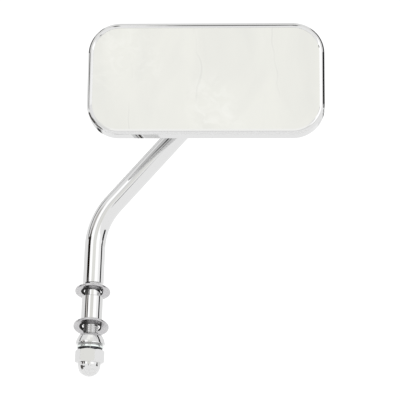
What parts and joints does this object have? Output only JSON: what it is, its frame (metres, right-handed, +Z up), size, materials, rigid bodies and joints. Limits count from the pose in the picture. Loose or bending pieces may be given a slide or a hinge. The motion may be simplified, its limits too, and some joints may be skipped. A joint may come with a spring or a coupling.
{
  "type": "rear-view mirror",
  "caption": "Rectangular chromed motorbike mirror on a bent bar stem, with a ball joint behind the head and a threaded stud with washers, sleeve, collar and cap nut.",
  "frame": {"origin": "on the axis of the threaded stud at the shoulder of the stem, where the stem seats on its bracket", "axes": "+Z runs up the stud's axis into the stem, the mirror glass faces -Y and the head lies towards +X"},
  "size_m": [0.1533, 0.0586, 0.2214],
  "materials": {
    "chrome": "polished chrome plate",
    "zinc": "bright zinc plate",
    "spring_steel": "dark oiled spring steel",
    "nylon": "moulded nylon",
    "mirror": "silvered glass",
    "felt": "pressed felt"
  },
  "bodies": {
    "stem": {"stem": "chrome", "seat_washer_upper": "zinc", "spacer_sleeve": "chrome", "seat_washer_lower": "zinc", "cone_collar": "chrome", "plain_washer": "zinc", "split_lock_washer": "spring_steel", "acorn_nut": "chrome"},
    "ball_stud": {"ball_stud": "zinc", "eye_lock_washer": "spring_steel", "eye_nut": "chrome"},
    "ball_seat": {"ball_seat": "nylon"},
    "head": {"socket_cup": "chrome", "pressure_disc": "zinc", "dished_spring": "spring_steel", "socket_bridge": "zinc", "socket_screws": "zinc", "head_shell": "chrome", "rim_bezel": "chrome", "mirror_glass": "mirror", "backing_pad": "felt"}
  },
  "joints": [
    {"name": "head_roll", "type": "hinge", "parent": "stem", "child": "ball_stud", "pos_m": [0.06826, 0, 0.12275], "axis": [0, 1, 0], "range_deg": [-15, 15]},
    {"name": "head_pan", "type": "hinge", "parent": "ball_stud", "child": "ball_seat", "pos_m": [0.06826, -0.018, 0.12275], "axis": [0, 0, 1], "range_deg": [-13, 15]},
    {"name": "head_tilt", "type": "hinge", "parent": "ball_seat", "child": "head", "pos_m": [0.06826, -0.018, 0.12275], "axis": [1, 0, 0], "range_deg": [-12, 12]}
  ]
}
